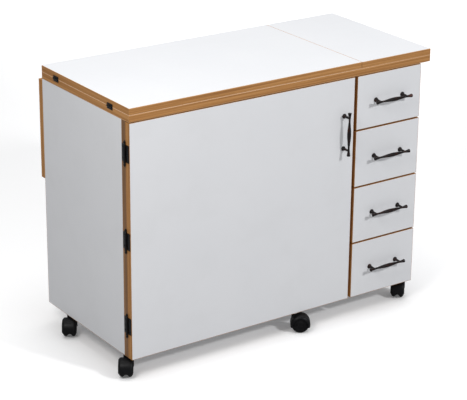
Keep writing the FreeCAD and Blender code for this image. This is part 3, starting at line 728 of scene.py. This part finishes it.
def boards():
    for node in ("left_side_panel", "right_side_panel", "centre_divider"):
        laminated_board(node, 0)
    for node in ("back_panel", "door_panel", "rear_leaf_panel"):
        laminated_board(node, 1)
    for number in range(1, 5):
        laminated_board(f"drawer_{number}_front", 1)
    for node in ("top_leaf_panel", "right_top_panel"):
        laminated_board(node, 2, LIP)
    laminated_board("lift_platform", 2)
    fixed_top()
    hinge_stile()
    bottom_panel()


def bottom_panel():
    """The bottom, notched round the hinge stile."""
    low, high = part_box("bottom_panel")
    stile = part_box("hinge_stile")[1]
    outline = [
        (stile.x, low.y), (high.x, low.y), (high.x, high.y),
        (low.x, high.y), (low.x, stile.y), (stile.x, stile.y),
    ]
    bm = plate([outline], low.z, high.z)
    grain_uv(bm, bm.faces, 0)
    mesh = to_mesh(bm)
    materials = [LAMINATE, OAK_BAND]
    for face in mesh.polygons:
        face.material_index = 1 if abs(face.normal.z) < 0.5 else 0
    new_piece(
        "bottom_panel_laminate", mesh, "cabinet", materials, ["bottom_panel"]
    )


# ------------------------------------------------------------------ drawers
def add_ply(bm, low, high, thin, along):
    """A ply board: faces in the first material, layered edges in the second."""
    layer = bm.loops.layers.uv.verify()
    for face in add_block(bm, low, high, along, PLY_ARRIS):
        if abs(face.normal[thin]) > 0.7:
            continue
        face.material_index = 1
        for loop in face.loops:
            point = loop.vert.co
            loop[layer].uv = (point[along] + point[3 - thin - along], point[thin] - low[thin])


def drawer_box(number):
    node = f"drawer_{number}_box"
    low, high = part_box(node)
    side = DRAWER_SIDE
    bottom_low = low.z + DRAWER_BOTTOM_RAISE
    groove = side / 2
    bm = bmesh.new()
    add_ply(bm, low, (low.x + side, high.y, high.z), 0, 1)
    add_ply(bm, (high.x - side, low.y, low.z), high, 0, 1)
    inner = (low.x + side, high.x - side)
    add_ply(bm, (inner[0], low.y, low.z), (inner[1], low.y + side, high.z), 1, 0)
    add_ply(bm, (inner[0], high.y - side, low.z), (inner[1], high.y, high.z), 1, 0)
    add_ply(
        bm,
        (low.x + groove, low.y + groove, bottom_low),
        (high.x - groove, high.y - groove, bottom_low + DRAWER_BOTTOM),
        2,
        1,
    )
    body = f"drawer_{number}"
    new_piece(node + "_ply", to_mesh(bm), body, [BIRCH, BIRCH_EDGE], [node])


# ------------------------------------------------------------------ pulls
def spindle_pull():
    """A turned bar on two flared posts: bar along Z, the board's face at y = 0."""
    half = PULL_LENGTH / 2
    post = PULL_SPACING / 2
    shape = [
        (5.7 * MM, 0), (5.3 * MM, 0.22 * post), (3.95 * MM, 0.52 * post),
        (2.9 * MM, 0.76 * post), (2.8 * MM, 0.90 * post), (3.2 * MM, post),
        (4.1 * MM, half - 8.0 * MM), (5.15 * MM, half - 2.6 * MM), (5.2 * MM, half - 1.0 * MM),
        (4.3 * MM, half - 0.1 * MM),
    ]
    upper = eased(shape, 4) + [(0, half)]
    lower = [(radius, -height) for radius, height in reversed(upper[1:])]
    bar = bmesh.new()
    lathe(bar, lower + upper, (0, -PULL_STANDOFF, 0), Z, X, 32)
    meshes = [to_mesh(bar)]
    foot = [
        (7.0 * MM, 0.05 * MM), (7.0 * MM, 1.6 * MM), (6.5 * MM, 2.6 * MM), (5.0 * MM, 4.4 * MM),
        (3.9 * MM, 8.0 * MM), (3.3 * MM, 13.0 * MM), (3.1 * MM, 18.0 * MM), (3.0 * MM, 23.0 * MM),
    ]
    profile = [(0, 0), (6.6 * MM, 0)] + eased(foot, 3) + [(0, POST_REACH)]
    for height in (-post, post):
        bm = bmesh.new()
        lathe(bm, profile, (0, 0, height), -Y, X, 32)
        meshes.append(to_mesh(bm))
    return joined(meshes)


def pulls():
    shape = spindle_pull()
    nodes = {"door_pull": ("door", X, Y)}
    for number in range(1, 5):
        nodes[f"drawer_{number}_pull"] = (f"drawer_{number}", -Z, Y)
    for node, (body, x_axis, y_axis) in nodes.items():
        low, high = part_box(node)
        origin = Vector(((low.x + high.x) / 2, high.y, (low.z + high.z) / 2))
        mesh = turned_copy(shape, world_matrix(origin, x_axis, y_axis))
        new_piece(node + "_turned", mesh, body, [BRONZE], [node])


# ------------------------------------------------------------------ casters
def hood_shell():
    """The domed cover over both wheels, about an axle along Y at the origin."""
    bm = bmesh.new()
    outside = [
        (HOOD_OUTER - 0.1 * MM, HOOD_HALF - 9.5 * MM),
        (HOOD_OUTER - 0.9 * MM, HOOD_HALF - 5 * MM),
        (HOOD_OUTER - 3.3 * MM, HOOD_HALF - 2.1 * MM),
        (HOOD_RIM + 1.4 * MM, HOOD_HALF - 0.1 * MM),
    ]
    inside = [
        (HOOD_INNER, HOOD_HALF - 9 * MM), (HOOD_INNER - 0.8 * MM, HOOD_HALF - 5.6 * MM),
        (HOOD_RIM + 2.0 * MM, HOOD_HALF - 3.0 * MM), (HOOD_RIM, HOOD_HALF - 2.0 * MM),
    ]
    half = [(HOOD_OUTER - 0.05 * MM, 5 * MM)] + eased(outside, 3)
    half += [(HOOD_RIM + 0.2 * MM, HOOD_HALF - 0.1 * MM), (HOOD_RIM, HOOD_HALF - 0.4 * MM)]
    half += list(reversed(inside)) + [(HOOD_INNER, 5 * MM)]
    section = half + [(radius, -across) for radius, across in reversed(half)]
    steps = 44
    rings = []
    for step in range(steps + 1):
        turn = math.radians(-HOOD_DROP + (180 + 2 * HOOD_DROP) * step / steps)
        rings.append([
            bm.verts.new((radius * math.cos(turn), across, radius * math.sin(turn)))
            for radius, across in section
        ])
    count = len(section)
    for first, second in zip(rings, rings[1:]):
        for i in range(count):
            j = (i + 1) % count
            bm.faces.new((first[i], first[j], second[j], second[i]))
    bm.faces.new(rings[0])
    bm.faces.new(rings[-1])
    bmesh.ops.recalc_face_normals(bm, faces=bm.faces)
    return to_mesh(bm)


def caster_hood(trail):
    """Hood, stem boss and web: axle along Y at the origin, stem at x = -trail."""
    web = bmesh.new()
    radius = HOOD_INNER + 1.4 * MM
    lathe(
        web,
        [(0, -WEB_HALF), (radius, -WEB_HALF), (radius, WEB_HALF), (0, WEB_HALF)],
        (0, 0, 0), Y, Z, 64,
    )
    level = -HOOD_OUTER * math.sin(math.radians(HOOD_DROP))
    disc = list(web.edges) + list(web.faces) + list(web.verts)
    cut = bmesh.ops.bisect_plane(
        web, geom=disc, plane_co=(0, 0, level), plane_no=(0, 0, -1), clear_outer=True
    )
    rim = [e for e in cut["geom_cut"] if isinstance(e, bmesh.types.BMEdge)]
    bmesh.ops.contextual_create(web, geom=rim)
    bmesh.ops.recalc_face_normals(web, faces=web.faces)
    boss = bmesh.new()
    lathe(
        boss,
        [(0, BOSS_LOW), (BOSS_RADIUS, BOSS_LOW), (BOSS_RADIUS, BOSS_TOP - 1.2 * MM),
         (BOSS_RADIUS - 1.2 * MM, BOSS_TOP), (0, BOSS_TOP)],
        (-trail, 0, 0), Z, X, 36,
    )
    stem = bmesh.new()
    stem_top = BOSS_TOP + STEM_LENGTH
    lathe(
        stem,
        [(0, BOSS_TOP - MM), (STEM_RADIUS, BOSS_TOP - MM), (STEM_RADIUS, stem_top - MM),
         (STEM_RADIUS - 0.6 * MM, stem_top), (0, stem_top)],
        (-trail, 0, 0), Z, X, 24,
    )
    return joined([hood_shell(), to_mesh(web), to_mesh(boss), to_mesh(stem)], 40)


def caster_wheel():
    """One wheel on the +Y side of the axle: narrow tread, domed outer face, hub cap."""
    inner, outer = WHEEL_INNER, WHEEL_INNER + WHEEL_WIDTH
    r = WHEEL_RADIUS
    tread = inner + 6.6 * MM
    inside = [(0, inner), (0.76 * r, inner), (0.80 * r, inner + 0.7 * MM)]
    rolling = [
        (r - 0.7 * MM, tread - 1.1 * MM), (r, tread), (r, tread + 2.6 * MM),
        (r - 0.8 * MM, tread + 4.4 * MM),
    ]
    dome = eased([
        (r - 0.8 * MM, tread + 4.4 * MM), (0.89 * r, outer - 3.6 * MM),
        (0.745 * r, outer - 1.4 * MM), (0.56 * r, outer - 0.4 * MM),
    ], 4)
    cap = [
        (0.53 * r, outer - 0.3 * MM), (0.50 * r, outer - 0.9 * MM), (0.47 * r, outer - 0.9 * MM),
        (0.44 * r, outer - 0.2 * MM), (0.30 * r, outer), (0, outer),
    ]
    bm = bmesh.new()
    lathe(bm, inside + rolling[:-1] + dome + cap, (0, 0, 0), Y, Z, 72)
    return to_mesh(bm, 32)


def axle_mesh():
    bm = bmesh.new()
    reach = WHEEL_INNER + 2 * MM
    profile = [(0, -reach), (AXLE_RADIUS, -reach), (AXLE_RADIUS, reach), (0, reach)]
    lathe(bm, profile, (0, 0, 0), Y, Z, 24)
    return to_mesh(bm, 35)


def casters():
    pivots = {joint["name"]: joint for joint in frame["joints"]}
    names = [name[:-7] for name in pivots if name.endswith("_swivel")]
    wheel = caster_wheel()
    hood = None
    for name in names:
        stem = Vector(pivots[name + "_swivel"]["pos_m"])
        hub = Vector(pivots[name + "_roll"]["pos_m"])
        axle = Vector(pivots[name + "_roll"]["axis"])
        trail = Vector((hub.x - stem.x, hub.y - stem.y, 0))
        hood = hood or caster_hood(trail.length)
        matrix = world_matrix(hub, trail.normalized(), axle)
        new_piece(
            name + "_hood_moulded", turned_copy(hood, matrix), name,
            [NYLON], [name + "_hood"],
        )
        far_side = matrix @ Matrix.Diagonal((-1, -1, 1, 1))
        pair = [turned_copy(wheel, matrix), turned_copy(wheel, far_side)]
        pair.append(turned_copy(axle_mesh(), matrix))
        new_piece(
            name + "_wheels_moulded", merged(pair), name + "_wheelset",
            [TREAD], [name + "_wheels"],
        )


# ------------------------------------------------------------------ repeated details
def tree_input(tree, name, kind, value=None):
    socket = tree.interface.new_socket(name, in_out="INPUT", socket_type=kind)
    if value is not None:
        socket.default_value = value
    return socket.identifier


class Network:
    """A geometry tree under construction."""

    def __init__(self, name):
        self.tree = bpy.data.node_groups.new(name, "GeometryNodeTree")
        self.tree.interface.new_socket(
            "Geometry", in_out="OUTPUT", socket_type="NodeSocketGeometry"
        )
        self.entry = self.tree.nodes.new("NodeGroupInput")
        self.exit = self.tree.nodes.new("NodeGroupOutput")
        self.keys = {}

    def take(self, name, kind, value=None):
        self.keys[name] = tree_input(self.tree, name, kind, value)

    def node(self, kind, sockets=None, **settings):
        made = self.tree.nodes.new(kind)
        for name, value in settings.items():
            setattr(made, name, value)
        for name, value in (sockets or {}).items():
            if isinstance(value, str):
                self.tree.links.new(self.entry.outputs[value], made.inputs[name])
            elif isinstance(value, bpy.types.NodeSocket):
                self.tree.links.new(value, made.inputs[name])
            else:
                made.inputs[name].default_value = value
        return made.outputs

    def finish(self, geometry):
        solid = self.node("GeometryNodeRealizeInstances", {0: geometry})
        coloured = self.node(
            "GeometryNodeSetMaterial", {"Geometry": solid[0], "Material": "Material"}
        )
        self.tree.links.new(coloured[0], self.exit.inputs[0])
        return self


def run_network(network, base, values):
    """The plain mesh that a geometry tree makes from a base mesh."""
    carrier = bpy.data.objects.new("carrier", base)
    bpy.context.scene.collection.objects.link(carrier)
    modifier = carrier.modifiers.new("make", "NODES")
    modifier.node_group = network.tree
    for name, value in values.items():
        modifier[network.keys[name]] = value
    graph = bpy.context.evaluated_depsgraph_get()
    mesh = bpy.data.meshes.new_from_object(carrier.evaluated_get(graph), depsgraph=graph)
    bpy.data.objects.remove(carrier)
    return mesh


def screw_network():
    """A domed cross-recess screw head on every point, facing along its attribute."""
    net = Network("screw_heads")
    net.take("Points", "NodeSocketGeometry")
    net.take("Radius", "NodeSocketFloat", 3 * MM)
    net.take("Height", "NodeSocketFloat", 1 * MM)
    net.take("Slot Width", "NodeSocketFloat", 0.9 * MM)
    net.take("Material", "NodeSocketMaterial")
    ball = net.node(
        "GeometryNodeMeshUVSphere", {"Segments": 20, "Rings": 10, "Radius": "Radius"}
    )
    flat = net.node("ShaderNodeMath", {0: "Height", 1: "Radius"}, operation="DIVIDE")
    squash = net.node("ShaderNodeCombineXYZ", {"X": 1.0, "Y": 1.0, "Z": flat[0]})
    dome = net.node("GeometryNodeTransform", {"Geometry": ball[0], "Scale": squash[0]})
    length = net.node("ShaderNodeMath", {0: "Radius", 1: 1.15}, operation="MULTIPLY")
    arms = []
    for first, second in ((length[0], "Slot Width"), ("Slot Width", length[0])):
        size = net.node("ShaderNodeCombineXYZ", {"X": first, "Y": second, "Z": "Height"})
        bar = net.node("GeometryNodeMeshCube", {"Size": size[0]})
        lift = net.node("ShaderNodeCombineXYZ", {"Z": "Height"})
        arms.append(
            net.node("GeometryNodeTransform", {"Geometry": bar[0], "Translation": lift[0]})[0]
        )
    cut = net.tree.nodes.new("GeometryNodeMeshBoolean")
    cut.operation = "DIFFERENCE"
    net.tree.links.new(dome[0], cut.inputs[0])
    for arm in arms:
        net.tree.links.new(arm, cut.inputs[1])
    facing = net.node("GeometryNodeInputNamedAttribute", {}, data_type="FLOAT_VECTOR")
    facing[0].node.inputs["Name"].default_value = "facing"
    turn = net.node("FunctionNodeAlignRotationToVector", {"Vector": facing[0]}, axis="Z")
    placed = net.node(
        "GeometryNodeInstanceOnPoints",
        {"Points": "Points", "Instance": cut.outputs[0], "Rotation": turn[0]},
    )
    return net.finish(placed[0])


def point_mesh(points):
    """Bare points with the direction that each faces."""
    mesh = bpy.data.meshes.new("points")
    mesh.from_pydata([tuple(point) for point, facing in points], [], [])
    facing = mesh.attributes.new("facing", "FLOAT_VECTOR", "POINT")
    for item, (point, direction) in zip(facing.data, points):
        item.vector = direction
    return mesh


SCREWS = screw_network()


def screws(name, body, material, points, radius, height):
    values = {
        "Radius": radius, "Height": height, "Slot Width": 0.3 * radius, "Material": material
    }
    mesh = run_network(SCREWS, point_mesh(points), values)
    mesh.shade_smooth()
    mesh.set_sharp_from_angle(angle=math.radians(35))
    new_piece(name, mesh, body, [material])


# ------------------------------------------------------------------ metalwork
def metalwork():
    for node in ("door_hinge_frame_leaves", "door_hinge_door_leaves", "top_hinge_lower_leaves",
                 "top_hinge_upper_leaves", "rear_hinge_fixed_leaves", "rear_hinge_leaf_plates"):
        refined(node, ENAMEL, 0.25 * MM)
    for node in ("door_hinge_pins", "top_hinge_pins"):
        refined(node, ENAMEL, 0.15 * MM)
    for node in ("rear_bracket_wall_arms", "rear_bracket_leaf_arms", "leaf_braces",
                 "door_strike_plate", "caster_sockets", "door_caster_socket"):
        refined(node, ZINC_TALL, 0.3 * MM)
    refined("drawer_cabinet_slides", ZINC_LONG, 0.25 * MM)
    for number in range(1, 5):
        refined(f"drawer_{number}_slides", ZINC_LONG, 0.25 * MM)
    for node in ("lift_rails", "lift_carriages", "gas_spring_cylinders"):
        refined(node, POWDER, 0.5 * MM)
    refined("gas_spring_rods", CHROME, 0.3 * MM)
    refined("door_catch", CATCH, 0.8 * MM)


def solids(node):
    """The low and high corner of every separate solid in a node."""
    bm = bmesh.new()
    bm.from_mesh(frame["nodes"][node].data)
    bmesh.ops.remove_doubles(bm, verts=bm.verts, dist=MERGE)
    found, boxes = set(), []
    for start in bm.verts:
        if start in found:
            continue
        found.add(start)
        island, queue = [], [start]
        while queue:
            vert = queue.pop()
            island.append(vert.co.copy())
            for edge in vert.link_edges:
                other = edge.other_vert(vert)
                if other not in found:
                    found.add(other)
                    queue.append(other)
        low = Vector([min(point[k] for point in island) for k in range(3)])
        high = Vector([max(point[k] for point in island) for k in range(3)])
        boxes.append((low, high))
    bm.free()
    return boxes


def hinge_screws():
    low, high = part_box("door_hinge_pins")
    axis_y = (low.y + high.y) / 2
    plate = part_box("left_side_panel")[0].x - DOOR_HINGE_PLATE
    for node, side in (("door_hinge_frame_leaves", 1), ("door_hinge_door_leaves", -1)):
        heads = []
        for low, high in solids(node):
            middle = (low.z + high.z) / 2
            for step in (-DOOR_HINGE_SCREW_STEP, 0, DOOR_HINGE_SCREW_STEP):
                shift = 12 if step else 8.5    # mm from the pin
                place = (plate, axis_y + side * shift * MM, middle + step * MM)
                heads.append((place, -X))
        body = body_of_node(node)
        screws(node + "_screws", body, ENAMEL, heads, 2.6 * MM, 0.7 * MM)
    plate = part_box("fixed_top")[0].x - TOP_HINGE_PLATE
    for node, at_top in (("top_hinge_lower_leaves", False), ("top_hinge_upper_leaves", True)):
        heads = []
        for low, high in solids(node):
            edge = TOP_HINGE_SCREW_EDGE
            height = high.z - edge if at_top else low.z + edge
            for share in (0.22, 0.78):
                heads.append(((plate, low.y + share * (high.y - low.y), height), -X))
        body = body_of_node(node)
        screws(node + "_screws", body, ENAMEL, heads, 1.5 * MM, 0.5 * MM)


def slide_screws():
    heads = []
    box_low, box_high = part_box("drawer_1_box")
    for low, high in solids("drawer_cabinet_slides"):
        left = (low.x + high.x) / 2 < (box_low.x + box_high.x) / 2
        wall, facing = (low.x + SLIDE_WALL, X) if left else (high.x - SLIDE_WALL, -X)
        for share in (0.1, 0.5, 0.9):
            place = (wall, low.y + share * (high.y - low.y), (low.z + high.z) / 2)
            heads.append((place, facing))
    screws("cabinet_slide_screws", "cabinet", ZINC_LONG, heads, 3.4 * MM, 1.2 * MM)


def pull_screws():
    """Pan heads behind each pull: on the door's back and inside each drawer box."""
    half = PULL_SPACING / 2
    low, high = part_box("door_pull")
    middle, back = (low + high) / 2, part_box("door_panel")[1].y
    heads = [((middle.x, back, middle.z + side * half), Y) for side in (-1, 1)]
    screws("door_pull_screws", "door", ZINC_TALL, heads, 4 * MM, 2 * MM)
    for number in range(1, 5):
        low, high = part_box(f"drawer_{number}_pull")
        middle = (low + high) / 2
        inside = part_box(f"drawer_{number}_box")[0].y + DRAWER_SIDE
        heads = [((middle.x + side * half, inside, middle.z), Y) for side in (-1, 1)]
        name = f"drawer_{number}_pull_screws"
        screws(name, f"drawer_{number}", ZINC_TALL, heads, 4 * MM, 2 * MM)


def small_fittings_screws():
    low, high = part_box("door_strike_plate")
    middle, tall = (low.x + high.x) / 2, high.z - low.z
    heads = [((middle, high.y, low.z + share * tall), Y) for share in (0.2, 0.8)]
    screws("strike_plate_screws", "door", ZINC_TALL, heads, 2.4 * MM, 0.4 * MM)
    heads = []
    for low, high in solids("lift_rails"):
        for share in (0.06, 0.35, 0.65, 0.94):
            heads.append((((low.x + high.x) / 2, low.y, low.z + share * (high.z - low.z)), -Y))
    screws("lift_rail_screws", "cabinet", ZINC_TALL, heads, 4 * MM, 1.6 * MM)


# ------------------------------------------------------------------ light, floor, camera
CAMERA_FROM_CORNER = (-2.2543, -3.7119)    # metres from the top's front left corner
CAMERA_HEIGHT = 2.2055
CAMERA_YAW_PITCH_ROLL = (34.83, 21.16, 0.53)
LENS = 137.4


def area_light(name, place, target, size, power, colour=(1, 1, 1), spread=180):
    data = bpy.data.lights.new(name, "AREA")
    data.spread = math.radians(spread)
    data.shape = "RECTANGLE"
    data.size, data.size_y = size
    data.energy = power
    data.color = colour
    light = bpy.data.objects.new(name, data)
    bpy.context.scene.collection.objects.link(light)
    light.location = place
    light.rotation_mode = "QUATERNION"
    light.rotation_quaternion = (Vector(target) - Vector(place)).to_track_quat("-Z", "Y")


def studio():
    world = bpy.data.worlds.new("studio")
    world.use_nodes = True
    background = world.node_tree.nodes["Background"]
    background.inputs["Color"].default_value = (0.97, 0.98, 1.0, 1)
    background.inputs["Strength"].default_value = 0.38
    bpy.context.scene.world = world
    area_light("overhead", (0.3, 0.3, 4.2), (0, 0, 0.3), (3.2, 3.2), 93)
    area_light("key", (1.25, -3.7, 2.8), (0.1, 0, 0.4), (0.4, 0.4), 75, (0.99, 0.99, 1))
    area_light("backdrop", (2.9, 3.3, 2.6), (2.9, 3.3, 0), (3.4, 3.0), 34, spread=75)
    area_light("left", (-1.8, -1.0, 2.0), (-0.5, -0.1, 0.7), (0.8, 0.8), 23, (1, 0.99, 0.98))


def floor():
    bm = bmesh.new()
    bmesh.ops.create_grid(bm, x_segments=2, y_segments=2, size=14)
    mesh = to_mesh(bm)
    ground = bpy.data.objects.new("studio_floor", mesh)
    bpy.context.scene.collection.objects.link(ground)
    f = Finish("studio_floor", roughness=0.9, specular_ior_level=0.0, emission_strength=0.09)
    f.surface.inputs["Emission Color"].default_value = (1, 1, 1, 1)
    shade = f.noise(f.place(), 3.0)
    seen = f.node("ShaderNodeLightPath", out="Is Camera Ray")
    paper = f.mix(shade, (0.955, 0.955, 0.955), (0.965, 0.965, 0.965))
    f.show("Base Color", f.mix(seen, (0.34, 0.34, 0.345), paper))
    mesh.materials.append(f.material)


def camera():
    """Standing to the left in front, above the top, looking down along the table."""
    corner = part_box("top_leaf_panel")[0]
    right, back = CAMERA_FROM_CORNER
    stand = Vector((corner.x + right, corner.y + back, CAMERA_HEIGHT))
    yaw, pitch, roll = (math.radians(angle) for angle in CAMERA_YAW_PITCH_ROLL)
    data = bpy.data.cameras.new("camera")
    data.sensor_width = 36
    data.lens = LENS
    data.clip_start = 0.1
    data.clip_end = 60
    eye = bpy.data.objects.new("camera", data)
    bpy.context.scene.collection.objects.link(eye)
    turn = Matrix.Rotation(-yaw, 4, "Z") @ Matrix.Rotation(math.pi / 2 - pitch, 4, "X")
    eye.matrix_world = Matrix.Translation(stand) @ turn @ Matrix.Rotation(roll, 4, "Z")
    bpy.context.scene.camera = eye


def build():
    boards()
    for number in range(1, 5):
        drawer_box(number)
    pulls()
    casters()
    metalwork()
    hinge_screws()
    slide_screws()
    pull_screws()
    small_fittings_screws()
    camera()
    studio()
    floor()
    bpy.context.scene.view_settings.view_transform = "Standard"


build()
